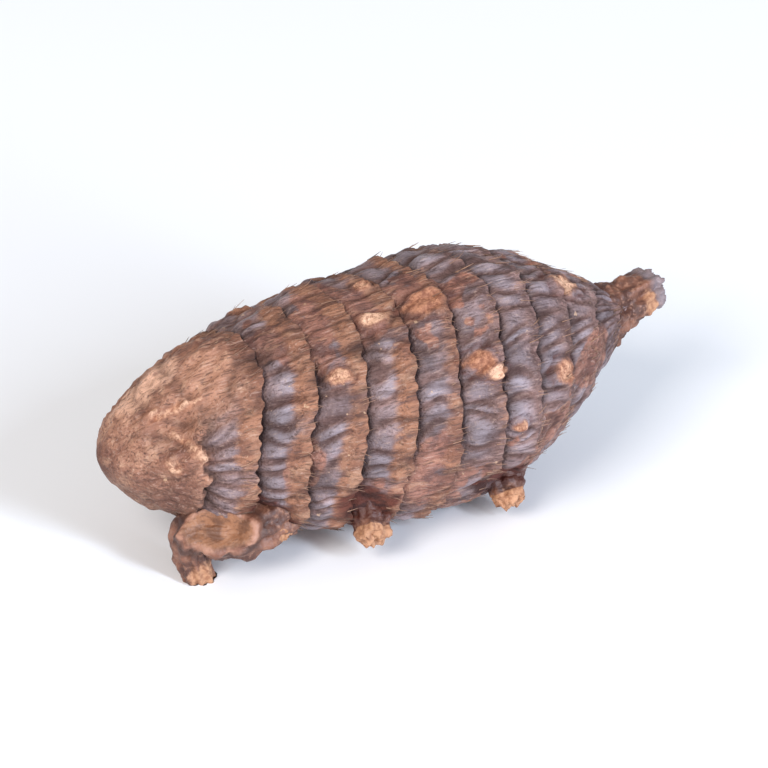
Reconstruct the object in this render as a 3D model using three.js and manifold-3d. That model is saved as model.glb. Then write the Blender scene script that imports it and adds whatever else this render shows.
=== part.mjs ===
// A dried nut grass tuber as it lies: one swollen stem, ringed by its nodes, with the stubs of broken roots.
// Millimetres. +X runs from the blunt base end to the tip, +Z is up, and the origin is where the belly rests.
import * as THREE from "three";
import { mergeVertices } from "three/addons/utils/BufferGeometryUtils.js";
import Module from "manifold-3d";

// The spindle: places along it are shares of its length, from the base end to the tip
const LENGTH = 24;
const RADIUS = 5.4;
const THICKEST = 0.65;
const BASE_SWELL = 2.2;
const BASE_BLUNTNESS = 0.55;
const TIP_SWELL = 1.66;
const TIP_TAPER = 1.05;
const BELLY = 0.605;
const AXIS_HEIGHT = 5.15;
const BASE_RISE = 0.05;
const TIP_RISE = 1.28;
const LUMP = 0.2;

// The rings: each node ends in a lip, and the next sheath comes out from the crevice under it.
// They are shallower where the spindle is thinner than FULL_RELIEF of its largest radius. About one angle
// they lean forward, towards the tip, and elsewhere they lie a little further back.
const RINGS = 10;
const FIRST_RING = 0.2235;
const RING_PITCH = 0.0878;
const RING_SHRINK = 0.00083;
const RING_DEPTH = 0.34;
const RING_WAVE = 0.2;
const RING_LEAN = { angle: 75, reach: 42, forward: 0.88, back: 0.15 };
const WAVE_FADE = { base: 0.15, tip: 0.1 };
const RING_WEAR = 0.25;
const RING_FACE = 15;
const CREVICE_WIDTH = 0.2;
const SHEATH_SLOPE = 0.3;
const LIP_HEIGHT = 0.13;
const LIP_PLACE = 0.86;
const LIP_WIDTH = 0.14;
const FULL_RELIEF = 0.6;

// A ring on the base cap that shows on the near side alone: it is full up to an angle from its middle, and
// has faded out at another. Its width and the distance to its lip are shares of the way to the first ring.
const EARLY_RING = { share: 0.138, middle: -8, full: 32, faded: 68, depth: 0.3, width: 0.2 };
const EARLY_LIP = { height: 0.1, before: 0.12, width: 0.14 };

// The ribs that run along each sheath, and the wrinkles of the base cap
const RIBS = 28;
const RIB_HEIGHT = 0.13;
const RIB_END = 0.86;
const RIB_LEAST = 0.35;
const RIB_JITTER = 0.3;
const CAP_WRINKLE = 0.6;
const SEED = 17;

// Scars of roots that broke off flush: the ring they stand on, the angle round the axis and the size.
// Angles start at the near side, -Y, and pass the top at 90 degrees.
const SCAR_HEIGHT = 0.14;
const SCARS = [
  { ring: 1.8, angle: 47, radius: 0.45 },
  { ring: 2.9, angle: 70, radius: 0.55 },
  { ring: 3.1, angle: 93, radius: 0.35 },
  { ring: 4.1, angle: 70, radius: 0.75 },
  { ring: 4.77, angle: 37, radius: 0.6 },
  { ring: 5.07, angle: 31, radius: 0.42 },
  { ring: 5.45, angle: 5, radius: 0.35 },
  { ring: 6.85, angle: 18, radius: 0.62 },
  { ring: 7.55, angle: 71, radius: 0.76 },
  { ring: 1, angle: 128, radius: 0.6 },
  { ring: 3, angle: 163, radius: 0.7 },
  { ring: 4, angle: 222, radius: 0.55 },
  { ring: 6, angle: 141, radius: 0.6 },
  { ring: 6, angle: 198, radius: 0.5 },
];

// The scar of a side stem on the base cap: a dish inside a torn rim
const STEM_SCAR = { share: 0.1, angle: 45, radius: 1.2, rim: 0.2, rimWidth: 0.28, dish: 0.22 };

// Root stubs: the ring and the angle that each stands at, the angle that it points to, and its lean along X
// as a share of its length. Each one has a dent in the skin beside it.
const ROOT_SUNK = 1;
const ROOT_SIDES = 9;
const ROOT_END = 0.15;
const STUB_FLARE = [1.5, 1.35, 1.05, 0.95, 0.9];
const ROOT_DENT = { depth: 0.45, radius: 0.85, away: 0.5, turn: 15 };
const ROOTS = [
  { ring: 0.5, angle: -44, points: -30, length: 0.4, radius: 0.62, lean: 0 },
  { ring: 2.35, angle: -38, points: -35, length: 0.75, radius: 0.76, lean: -0.2 },
  { ring: 5.6, angle: -47, points: -38, length: 0.75, radius: 0.78, lean: -0.1 },
  { ring: 2.1, angle: 196, points: 190, length: 0.8, radius: 0.6, lean: -0.2 },
  { ring: 5, angle: 168, points: 160, length: 0.5, radius: 0.55, lean: 0.2 },
  { ring: 4.6, angle: 222, points: 205, length: 0.7, radius: 0.7, lean: 0.1 },
  { ring: 6.5, angle: 232, points: 215, length: 0.55, radius: 0.6, lean: 0.3 },
];

// The thick root under the base end, which runs along the skin and turns down to the surface
const LEG_RADIUS = 1.1;
const LEG_FLARE = [1.05, 1.05, 1.05, 1.05, 1, 0.95, 0.85, 0.7, 0.65, 0.62, 0.6];
const LEG_PATH = [
  { share: 0.29, angle: -43, raised: -1 },
  { share: 0.2, angle: -42, raised: 0.3 },
  { share: 0.14, angle: -47, raised: 0.5 },
  { share: 0.125, angle: -59, raised: 1.25 },
  { share: 0.143, angle: -67, raised: 2.9 },
];

// The cupped face on that root, where it tore open: its place along the root, the way that it faces, and the
// half-length, half-width and depth of the hollow
const CUP = { along: 0.46, facing: [-0.32, -0.78, 0.54], size: [1.45, 0.9, 0.5] };

// The stub of the stem on the tip, which turns up and to the far side
const TIP_STUB = { start: 0.9, along: 3.6, aside: 0.75, rise: 0.55, radius: 1 };

// How finely the skin is drawn: rows of points along the base cap, each sheath and the tip
const CAP_ROWS = [0.02, 0.08, 0.17, 0.29, 0.42, 0.53, 0.6, 0.645, 0.72, 0.81, 0.9, 0.98];
const SHEATH_ROWS = [0.03, 0.12, 0.26, 0.5, 0.72, 0.88, 0.97];
const TIP_ROWS = [0.04, 0.25, 0.5, 0.75, 0.92];
const COLUMNS = 2 * RIBS;
const TURN = 2 * Math.PI;

const radians = THREE.MathUtils.degToRad;
const ringShare = (ring) => FIRST_RING + RING_PITCH * ring - RING_SHRINK * ring * ring;
const hump = (x) => Math.exp(-x * x);

// The radius of the smooth spindle, as a share of its largest: a blunt base and a conical tip.
function swell(share) {
  if (share < THICKEST) {
    return (1 - (1 - share / THICKEST) ** BASE_SWELL) ** BASE_BLUNTNESS;
  }
  return (1 - ((share - THICKEST) / (1 - THICKEST)) ** TIP_SWELL) ** TIP_TAPER;
}

// Shallow lumps that keep the spindle from being round.
function lumps(share, angle) {
  const oval = 0.5 * Math.sin(2 * angle + 0.8);
  const twist = 0.35 * Math.sin(3 * angle + 5 * share + 2);
  const dents = 0.3 * Math.sin(5 * angle - 7 * share + 1) + 0.25 * Math.sin(4 * angle + 12 * share);
  return LUMP * (oval + twist + dents);
}

// How far a ring strays along the axis on its way round: none at the two ends.
function ringWave(share, angle) {
  const wander = Math.sin(angle + 0.6) + 0.6 * Math.sin(2 * angle + 2.1 + 9 * share);
  const nicks = 0.3 * Math.sin(5 * angle + 14 * share);
  const turned = Math.acos(Math.cos(angle - radians(RING_LEAN.angle)));
  const lean = RING_LEAN.forward * hump(turned / radians(RING_LEAN.reach)) - RING_LEAN.back;
  const fade = Math.min(1, share / WAVE_FADE.base, (1 - share) / WAVE_FADE.tip);
  return fade * (RING_WAVE * (wander + nicks) + lean);
}

// A point of the spindle, raised from its smooth surface.
function spindlePoint(share, angle, raised = 0) {
  const radius = swell(share) * (RADIUS + lumps(share, angle)) + raised;
  const rise = share < 0.5 ? BASE_RISE : TIP_RISE;
  const height = AXIS_HEIGHT + rise * (2 * share - 1) ** 2;
  return new THREE.Vector3(
    LENGTH * (share - BELLY),
    -radius * Math.cos(angle),
    height + radius * Math.sin(angle),
  );
}

// Height of a sheath over its length: up out of the crevice at 0, then a lip before the next ring at 1.
// The rings are sharpest on two opposite faces and worn between them.
function sheathRelief(segment, along, angle) {
  const groove = THREE.MathUtils.lerp(hump(along / CREVICE_WIDTH), 1 - along, SHEATH_SLOPE);
  const crevice = segment === 0 ? 0 : RING_DEPTH * groove;
  const lip = segment === RINGS ? 0 : LIP_HEIGHT * hump((along - LIP_PLACE) / LIP_WIDTH);
  const wear = 1 - RING_WEAR + RING_WEAR * Math.cos(2 * (angle - radians(RING_FACE)));
  return wear * (lip - crevice);
}

// The half-seen ring on the base cap: a low lip, then a crevice that closes towards the first ring.
function earlyRingRelief(share, angle) {
  const along = (share - EARLY_RING.share) / (FIRST_RING - EARLY_RING.share);
  const turned = Math.acos(Math.cos(angle - radians(EARLY_RING.middle)));
  const shows = 1 - THREE.MathUtils.smoothstep(turned, radians(EARLY_RING.full), radians(EARLY_RING.faded));
  const lip = EARLY_LIP.height * hump((along + EARLY_LIP.before) / EARLY_LIP.width);
  const crevice = along > 0 ? EARLY_RING.depth * hump(along / EARLY_RING.width) : 0;
  return shows * (lip - crevice);
}

THREE.MathUtils.seededRandom(SEED);
const drawForEachRib = (least, most) =>
  Array.from({ length: (RINGS + 1) * COLUMNS }, () =>
    THREE.MathUtils.lerp(least, most, THREE.MathUtils.seededRandom()),
  );
const ribStrength = drawForEachRib(RIB_LEAST, 1);
const ribJitter = drawForEachRib(-RIB_JITTER, RIB_JITTER);

// Ribs stand on every second column, and on the columns between them on the next sheath.
function ribRelief(segment, along, column) {
  const side = (column + segment) % 2 === 0 ? 1 : -1;
  const rise = along < RIB_END ? Math.sin((Math.PI * along) / RIB_END) : 0;
  const share = segment === 0 ? CAP_WRINKLE : 1;
  return side * share * rise * RIB_HEIGHT * ribStrength[segment * COLUMNS + column];
}

const scars = SCARS.map(({ ring, angle, radius }) => ({
  radius,
  centre: spindlePoint(ringShare(ring), radians(angle)),
}));
const stemScarCentre = spindlePoint(STEM_SCAR.share, radians(STEM_SCAR.angle));
const dents = ROOTS.map(({ ring, angle }) => {
  const share = ringShare(ring) - ROOT_DENT.away / LENGTH;
  return spindlePoint(share, radians(angle + ROOT_DENT.turn));
});

// Low bosses of root scars, the dish of the stem scar and the dents beside root stubs.
function scarRelief(point) {
  const bosses = scars.map((scar) => SCAR_HEIGHT * hump((point.distanceTo(scar.centre) / scar.radius) ** 2));
  const hollows = dents.map((dent) => -ROOT_DENT.depth * hump(point.distanceTo(dent) / ROOT_DENT.radius));
  const away = point.distanceTo(stemScarCentre) / STEM_SCAR.radius;
  const rim = STEM_SCAR.rim * hump((away - 1) / STEM_SCAR.rimWidth);
  const dish = STEM_SCAR.dish * hump(away * away);
  return [...bosses, ...hollows].reduce((sum, height) => sum + height, rim - dish);
}

// The rows of the skin, each with the sheath that it is on and how far along that sheath it lies.
function bodyRows() {
  const rows = [];
  for (let segment = 0; segment <= RINGS; segment++) {
    const start = segment === 0 ? 0 : ringShare(segment - 1);
    const end = segment === RINGS ? 1 : ringShare(segment);
    const steps = segment === 0 ? CAP_ROWS : segment === RINGS ? TIP_ROWS : SHEATH_ROWS;
    steps.forEach((along) => rows.push({ segment, along, share: THREE.MathUtils.lerp(start, end, along) }));
  }
  return rows;
}

function bodyPoint({ segment, along, share }, column) {
  const angle = (TURN * (column + ribJitter[segment * COLUMNS + column])) / COLUMNS;
  const place = share + ringWave(share, angle) / LENGTH;
  const depthShare = Math.min(1, swell(place) / FULL_RELIEF);
  const relief = sheathRelief(segment, along, angle) + ribRelief(segment, along, column);
  const early = segment === 0 ? earlyRingRelief(share, angle) : 0;
  const scarred = scarRelief(spindlePoint(place, angle));
  return spindlePoint(place, angle, depthShare * relief + early + scarred);
}

// A closed skin from one point through loops of points to another. Loops turn clockwise, seen from the end.
function closedSkin(start, loops, end) {
  const sides = loops[0].length;
  const points = [start, ...loops.flat(), end];
  const corner = (loop, side) => 1 + loop * sides + (side % sides);
  const faces = [];
  for (let side = 0; side < sides; side++) {
    faces.push(0, corner(0, side), corner(0, side + 1));
    for (let loop = 0; loop + 1 < loops.length; loop++) {
      const a = corner(loop, side);
      const b = corner(loop, side + 1);
      const c = corner(loop + 1, side + 1);
      const d = corner(loop + 1, side);
      faces.push(a, c, b, a, d, c);
    }
    faces.push(points.length - 1, corner(loops.length - 1, side + 1), corner(loops.length - 1, side));
  }
  return new THREE.BufferGeometry().setFromPoints(points).setIndex(faces);
}

function bodyGeometry() {
  const columns = Array.from({ length: COLUMNS }, (_, column) => column);
  const loops = bodyRows().map((row) => columns.map((column) => bodyPoint(row, column)));
  return closedSkin(spindlePoint(0, 0), loops, spindlePoint(1, 0));
}

// A root along a curve: flared where it leaves the skin, narrower and a little domed at its broken end.
function rootGeometry(curve, radius, flare) {
  const frames = curve.computeFrenetFrames(flare.length - 1);
  const loops = flare.map((share, i) => {
    const centre = curve.getPointAt(i / (flare.length - 1));
    return Array.from({ length: ROOT_SIDES }, (_, side) => {
      const turn = (TURN * side) / ROOT_SIDES;
      return centre
        .clone()
        .addScaledVector(frames.normals[i], share * radius * Math.cos(turn))
        .addScaledVector(frames.binormals[i], -share * radius * Math.sin(turn));
    });
  });
  const end = curve.getPointAt(1).addScaledVector(frames.tangents.at(-1), ROOT_END);
  return closedSkin(curve.getPointAt(0), loops, end);
}

// A stub out of the skin at a ring, sunk below it.
function stubGeometry({ ring, angle, points, length, radius, lean }) {
  const turn = radians(points);
  const out = new THREE.Vector3(lean, -Math.cos(turn), Math.sin(turn)).normalize();
  const foot = spindlePoint(ringShare(ring), radians(angle));
  const start = foot.clone().addScaledVector(out, -ROOT_SUNK);
  const end = foot.clone().addScaledVector(out, length);
  return rootGeometry(new THREE.LineCurve3(start, end), radius, STUB_FLARE);
}

const legPath = LEG_PATH.map(({ share, angle, raised }) => spindlePoint(share, radians(angle), raised));
const legCurve = new THREE.CatmullRomCurve3(legPath);

// The hollow of the cupped face: a flattened ball on the side of the root, long the way that the root runs.
function cupGeometry() {
  const along = legCurve.getTangentAt(CUP.along);
  const facing = new THREE.Vector3(...CUP.facing);
  facing.addScaledVector(along, -facing.dot(along)).normalize();
  const across = new THREE.Vector3().crossVectors(facing, along);
  const centre = legCurve.getPointAt(CUP.along).addScaledVector(facing, LEG_RADIUS);
  const placed = new THREE.Matrix4().makeBasis(along, across, facing).setPosition(centre);
  return new THREE.SphereGeometry(1, 14, 8).scale(...CUP.size).applyMatrix4(placed);
}

function tipGeometry() {
  const start = spindlePoint(TIP_STUB.start, 0, -swell(TIP_STUB.start) * RADIUS);
  const end = start.clone().add(new THREE.Vector3(TIP_STUB.along, TIP_STUB.aside, TIP_STUB.rise));
  return rootGeometry(new THREE.LineCurve3(start, end), TIP_STUB.radius, STUB_FLARE);
}

// The block under the surface that the tuber lies on: it presses the belly and the foot of the leg flat.
function groundGeometry() {
  const depth = LENGTH;
  return new THREE.BoxGeometry(2 * LENGTH, 2 * LENGTH, depth).translate(0, 0, -depth / 2);
}

const wasm = await Module();
wasm.setup();

function solidOf(geometry) {
  geometry.deleteAttribute("normal");
  geometry.deleteAttribute("uv");
  const merged = mergeVertices(geometry);
  return new wasm.Manifold(
    new wasm.Mesh({
      numProp: 3,
      vertProperties: new Float32Array(merged.attributes.position.array),
      triVerts: new Uint32Array(merged.index.array),
    }),
  );
}

function geometryOf(solid) {
  const { vertProperties, triVerts } = solid.getMesh();
  const geometry = new THREE.BufferGeometry();
  geometry.setAttribute("position", new THREE.BufferAttribute(vertProperties, 3));
  geometry.setIndex(new THREE.BufferAttribute(triVerts, 1));
  geometry.computeVertexNormals();
  return geometry;
}

const leg = solidOf(rootGeometry(legCurve, LEG_RADIUS, LEG_FLARE)).subtract(solidOf(cupGeometry()));
const stubs = [...ROOTS.map(stubGeometry), tipGeometry()].map(solidOf);
const grown = [leg, ...stubs].reduce((solid, root) => solid.add(root), solidOf(bodyGeometry()));
const lying = grown.subtract(solidOf(groundGeometry()));

const skin = new THREE.MeshStandardMaterial({ color: 0x785848, roughness: 0.6, metalness: 0 });
const tuber = new THREE.Mesh(geometryOf(lying), skin);
tuber.name = "tuber";

const part = new THREE.Group();
part.add(tuber);

export default part;
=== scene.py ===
"""A dried nut grass tuber on a pale floor: skin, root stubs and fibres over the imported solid.

Shapes are worked out in millimetres, in the solid's own frame, and scaled to metres when a mesh is made.
"""
from types import SimpleNamespace

import bpy
import numpy as np
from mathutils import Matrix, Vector


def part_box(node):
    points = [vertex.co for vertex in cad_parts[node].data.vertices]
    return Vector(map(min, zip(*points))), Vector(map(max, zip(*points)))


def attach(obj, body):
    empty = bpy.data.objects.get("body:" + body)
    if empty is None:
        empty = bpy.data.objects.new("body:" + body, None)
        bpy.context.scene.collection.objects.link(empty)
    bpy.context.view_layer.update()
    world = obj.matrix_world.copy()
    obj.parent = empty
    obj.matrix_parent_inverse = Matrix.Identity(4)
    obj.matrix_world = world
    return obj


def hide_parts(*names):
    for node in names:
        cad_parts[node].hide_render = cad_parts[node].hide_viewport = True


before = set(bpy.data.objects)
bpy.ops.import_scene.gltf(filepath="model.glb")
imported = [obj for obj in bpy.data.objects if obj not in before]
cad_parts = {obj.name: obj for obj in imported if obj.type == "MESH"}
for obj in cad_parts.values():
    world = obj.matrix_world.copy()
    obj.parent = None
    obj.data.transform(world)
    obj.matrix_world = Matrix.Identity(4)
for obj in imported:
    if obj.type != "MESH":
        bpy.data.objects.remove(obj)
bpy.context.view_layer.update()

MM = 0.001
TURN = 2 * np.pi

# The spindle, as in the solid: places along it are shares of its length, from the base end to the tip
LENGTH = 24
RADIUS = 5.4
THICKEST = 0.65
BASE_SWELL = 2.2
BASE_BLUNTNESS = 0.55
TIP_SWELL = 1.66
TIP_TAPER = 1.05
BELLY = 0.605
AXIS_HEIGHT = 5.15
BASE_RISE = 0.05
TIP_RISE = 1.28
LUMP = 0.2

# The rings and sheaths, as in the solid
RINGS = 10
FIRST_RING = 0.2235
RING_PITCH = 0.0878
RING_SHRINK = 0.00083
RING_DEPTH = 0.34
RING_WAVE = 0.2
RING_LEAN = {"angle": 75, "reach": 42, "forward": 0.88, "back": 0.15}
WAVE_FADE_BASE = 0.15
WAVE_FADE_TIP = 0.1
RING_WEAR = 0.25
RING_FACE = 15
CREVICE_WIDTH = 0.2
SHEATH_SLOPE = 0.3
LIP_HEIGHT = 0.13
LIP_PLACE = 0.86
LIP_WIDTH = 0.14
FULL_RELIEF = 0.6
RIB_END = 0.86

# A ring on the base cap that shows on the near side alone: its share of the length, its middle angle, and
# how far from there it starts to fade and ends. Widths are shares of the way from it to the first ring.
EARLY_RING = {"share": 0.138, "angle": -8, "full": 32, "end": 68, "depth": 0.3, "width": 0.2}
EARLY_LIP = {"height": 0.1, "before": 0.12, "width": 0.14}
EARLY_JAG = 0.004

# The finer relief: ragged lips over a narrow cut, uneven ribs, and wrinkles that run lengthwise
RIBS = 34
LIP_OVERHANG = 0.08
LIP_REACH = 0.09
LIP_JAG = 0.045
EDGE_UNEVEN = 0.4
CUT_DEPTH = 0.16
CUT_WIDTH = 0.09
RIB_HEIGHT = 0.27
RIB_LEVEL = 0.6
RIB_ROUNDNESS = 2.6
RIB_JITTER = 0.38
RIB_LEAST = 0.3
RIB_SWAY = 0.035
LENGTHWISE = (3.4, 1, 1)
FOLD_DEPTH = 0.09
CREASE_DEPTH = 0.045
HAIRLINE_DEPTH = 0.03
CAP_FOLD_DEPTH = 0.12
CAP_CREASE_DEPTH = 0.07
CAP_ROUGHNESS = 0.035
PUCKER_RADIUS = 4.6
NAVEL = {"radius": 0.7, "depth": 0.3}
SWELLS = 0.05
BUMPS = 0.025
GRAIN = 0.015
END_FADE = 0.35

# The shares of the rings and of the ribs that a patch of old skin hides
WORN_RINGS = 0.5
WORN_RIBS = 0.75

# Painted shade in a crevice under a lip, and dimmer painted shade fading beside it: widths as shares of a
# sheath, and strengths
CREVICE_SHADE_WIDTH = 0.18
CREVICE_FADING_SHADE_WIDTH = 0.34
CREVICE_FADING_SHADE = 0.55
# The strength of the painted shade in the cut of the half-seen ring on the cap
EARLY_CUT_SHADE = 0.85

# Each sheath reads its noise at a place of its own, so that no wrinkle runs on from one to the next
SHEATH_SHIFT = np.array([7.3, 3.1, 5.7])

# The relief of a root scar, and where the groove round it lies, in its radii
SCAR_RELIEF = {"boss": 0.14, "rim": 0.06, "middle": 0.07, "groove": 0.08, "rough": 0.035}
SCAR_GROOVE = 1.25

# Root scars: ring, angle in degrees from the near side over the top, radius, length over width, paleness
SCARS = [
    (1.8, 47, 0.45, 1.1, 0.6),
    (2.9, 70, 0.55, 1.9, 1),
    (3.1, 93, 0.35, 1.2, 0.5),
    (4.1, 70, 0.75, 1.4, 0),
    (4.77, 37, 0.6, 1.2, 0.1),
    (5.07, 31, 0.42, 1.6, 1),
    (5.45, 5, 0.35, 1.1, 0.4),
    (6.85, 18, 0.62, 1.1, 0.4),
    (7.55, 71, 0.76, 1.5, 1),
    (1, 128, 0.6, 1.3, 0.4),
    (3, 163, 0.7, 1.2, 0.7),
    (4, 222, 0.55, 1.1, 0.3),
    (6, 141, 0.6, 1.4, 0.6),
    (6, 198, 0.5, 1.2, 0.9),
]

# The scar of a side stem on the base cap
STEM_SCAR = {"share": 0.1, "angle": 45, "radius": 1.2, "rim": 0.2, "rim_width": 0.28, "dish": 0.22}

# Torn ridges on the base cap: from a share and angle to another, and the width
TEAR_HEIGHT = 0.12
TEARS = [
    ((0.079, 63), (0.083, 62), 0.26),
    ((0.082, 62), (0.155, 58.5), 0.14),
    ((0.106, 42), (0.13, 24), 0.15),
    ((0.13, 24), (0.14, 17), 0.24),
    ((0.088, 14), (0.094, 12), 0.26),
    ((0.12, 150), (0.19, 163), 0.22),
    ((0.09, 230), (0.16, 222), 0.22),
]

# Places on the base cap painted pale, the first along its top as a painted highlight, the other as rubbed
# skin: from a share and angle to another, and the width
PALE_WEAR_AND_HIGHLIGHT = [
    ((0.06, 104), (0.125, 99), 0.8),
    ((0.1, 200), (0.15, 212), 0.8),
]

# Hollows where a sheath comes out from under a patch of old skin, painted dark as shade: ring, angle and
# radius
HOLLOW_DEPTH = 0.14
HOLLOWS = [
    (0.58, 69, 0.6),
    (1.46, 49, 0.5),
    (2.48, 56, 0.68),
    (3.58, 68, 0.5),
    (4.8, -28, 0.7),
    (3.5, 128, 0.6),
    (5.3, 205, 0.6),
]

# Patches of reddish skin that hide the rings: ring, angle and radius
RED_PATCHES = [
    (1.3, 73, 2),
    (4.2, 72, 1.6),
    (3.3, -22, 1.7),
    (4, -42, 1.3),
    (6.3, -8, 1.4),
    (2.6, 150, 2),
    (5.5, 185, 1.8),
    (7.6, 110, 1.4),
    (4.4, 250, 1.8),
]

# The dent beside each root stub, and the painted shade in it and round the stub's foot, in radii of the stub
ROOT_DENT = {"depth": 0.45, "radius": 0.85, "away": 0.5, "turn": 15}
SOCKET_SIZE = 1.7
COLLAR_SIZE = 1.5

# Root stubs: ring, angle, the angle that it points to, length, radius and lean along X
ROOT_SUNK = 1
STUB_FLARE = [1.5, 1.35, 1.05, 0.95, 0.9]
ROOTS = [
    (0.5, -44, -30, 0.4, 0.62, 0),
    (2.35, -38, -35, 0.75, 0.76, -0.2),
    (5.6, -47, -38, 0.75, 0.78, -0.1),
    (2.1, 196, 190, 0.8, 0.6, -0.2),
    (5, 168, 160, 0.5, 0.55, 0.2),
    (4.6, 222, 205, 0.7, 0.7, 0.1),
    (6.5, 232, 215, 0.55, 0.6, 0.3),
]

# The thick root under the base end: share, angle and height over the skin along its path
LEG_RADIUS = 1.1
LEG_FLARE = [1.05, 1.05, 1.05, 1.05, 1, 0.95, 0.85, 0.7, 0.65, 0.62, 0.6]
LEG_PATH = [(0.29, -43, -1), (0.2, -42, 0.3), (0.14, -47, 0.5), (0.125, -59, 1.25), (0.143, -67, 2.9)]

# The stub of the stem at the tip: the share where it starts, how far it reaches, and its radius
TIP_STUB = {"start": 0.9, "along": 3.6, "aside": 0.75, "rise": 0.55, "radius": 1}

# How finely the skin is drawn: its rows crowd towards the rings and stop short of both ends
COLUMNS = 400
CAP_ROWS = 50
SHEATH_ROWS = 19
TIP_ROWS = 22
ROW_CROWDING = 0.7
POLE_GAP = 0.0005

# The view: the photograph's direction, with the tuber filling most of the frame
VIEW_AZIMUTH = -24
VIEW_ELEVATION = 33
LENS = 300
SENSOR = 36
FRAME_WIDTH = 0.0315

# How many sine waves a noise is made of, and how wide the grooves are that follow its zero line
RIPPLE_WAVES = 28
GROOVE_WIDTH = 0.3


def ring_share(ring):
    return FIRST_RING + RING_PITCH * ring - RING_SHRINK * ring * ring


def hump(x):
    return np.exp(-x * x)


def smooth(x, low, high):
    """0 below low, 1 above high and a soft step between."""
    t = np.clip((x - low) / (high - low), 0, 1)
    return t * t * (3 - 2 * t)


def ripple(points, wavelength, seed, stretch=(1, 1, 1)):
    """Smooth noise about zero: sine waves of about that length in random directions."""
    draw = np.random.default_rng(seed)
    directions = draw.normal(size=(RIPPLE_WAVES, 3))
    directions /= np.linalg.norm(directions, axis=1, keepdims=True)
    lengths = wavelength * draw.uniform(0.7, 1.4, RIPPLE_WAVES)
    pulses = TURN * directions / lengths[:, None] / np.array(stretch)
    phases = draw.uniform(0, TURN, RIPPLE_WAVES)
    total = np.zeros(points.shape[:-1])
    for pulse, phase in zip(pulses, phases):
        total += np.sin(points @ pulse + phase)
    return total / np.sqrt(RIPPLE_WAVES / 2)


def creases(points, wavelength, seed, stretch=(1, 1, 1)):
    """A net of narrow grooves: 1 along them and 0 beside them."""
    return hump(ripple(points, wavelength, seed, stretch) / GROOVE_WIDTH)


def around(angle, least, most, seed):
    """Noise about zero on a circle, with from least to most waves in a turn."""
    draw = np.random.default_rng(seed)
    orders = np.arange(least, most + 1)
    phases = draw.uniform(0, TURN, len(orders))
    weights = draw.uniform(0.4, 1, len(orders))
    total = (weights * np.sin(np.outer(angle, orders) + phases)).sum(1)
    return total / np.sqrt((weights**2).sum() / 2)


def nearness(points, centre, radius, stretch=1.0):
    """Distance from a centre in radii, inside an oval that is longer along X by that stretch."""
    across = radius / np.sqrt(stretch)
    axes = np.array([across * stretch, across, across])
    return np.linalg.norm((points - centre) / axes, axis=-1)


def line_distance(points, start, end):
    """Distance from a straight line between two points."""
    along = end - start
    t = np.clip((points - start) @ along / (along @ along), 0, 1)
    return np.linalg.norm(points - start - t[..., None] * along, axis=-1)


def strongest(masks):
    return np.maximum.reduce(masks)


# The smooth spindle


def swell(share):
    base = np.clip(1 - share / THICKEST, 0, 1)
    tip = np.clip((share - THICKEST) / (1 - THICKEST), 0, 1)
    blunt = (1 - base**BASE_SWELL) ** BASE_BLUNTNESS
    cone = (1 - tip**TIP_SWELL) ** TIP_TAPER
    return np.where(share < THICKEST, blunt, cone)


def lumps(share, angle):
    oval = 0.5 * np.sin(2 * angle + 0.8)
    twist = 0.35 * np.sin(3 * angle + 5 * share + 2)
    dents = 0.3 * np.sin(5 * angle - 7 * share + 1) + 0.25 * np.sin(4 * angle + 12 * share)
    return LUMP * (oval + twist + dents)


def ring_wave(share, angle):
    wander = np.sin(angle + 0.6) + 0.6 * np.sin(2 * angle + 2.1 + 9 * share)
    nicks = 0.3 * np.sin(5 * angle + 14 * share)
    turned = np.arccos(np.cos(angle - np.radians(RING_LEAN["angle"])))
    lean = RING_LEAN["forward"] * hump(turned / np.radians(RING_LEAN["reach"])) - RING_LEAN["back"]
    fade = np.clip(np.minimum(share / WAVE_FADE_BASE, (1 - share) / WAVE_FADE_TIP), 0, 1)
    return fade * (RING_WAVE * (wander + nicks) + lean)


def axis_height(share):
    rise = np.where(np.asarray(share) < 0.5, BASE_RISE, TIP_RISE)
    return AXIS_HEIGHT + rise * (2 * share - 1) ** 2


def spindle_point(share, angle, raised=0.0, forward=0.0):
    """A point over the spindle, raised from its axis and moved forward towards the tip."""
    radius = swell(share) * (RADIUS + lumps(share, angle)) + raised
    x = LENGTH * (share - BELLY) + forward
    y = -radius * np.cos(angle)
    z = axis_height(share) + radius * np.sin(angle)
    return np.stack(np.broadcast_arrays(x, y, z), -1)


def ring_point(ring, degrees):
    return spindle_point(ring_share(ring), np.radians(degrees))


def stroke_distance(points, start, end, width):
    """Distance in widths from a line between two places on the spindle, each a share and an angle."""
    ends = [spindle_point(share, np.radians(degrees)) for share, degrees in (start, end)]
    return line_distance(points, *ends) / width


# The skin: rows along the axis and columns round it


def skin_rows():
    """For each row: the sheath it is on, how far along that sheath it lies, and its share of the length."""
    segments, alongs, shares = [], [], []
    for segment in range(RINGS + 1):
        start = ring_share(segment - 1) if segment > 0 else 0
        end = ring_share(segment) if segment < RINGS else 1
        count = CAP_ROWS if segment == 0 else TIP_ROWS if segment == RINGS else SHEATH_ROWS
        step = (np.arange(count) + 0.5) / count
        along = step - ROW_CROWDING * np.sin(TURN * step) / TURN
        segments += [segment] * count
        alongs += along.tolist()
        shares += (start + (end - start) * along).tolist()
    return np.array(segments)[:, None], np.array(alongs)[:, None], np.array(shares)[:, None]


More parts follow.
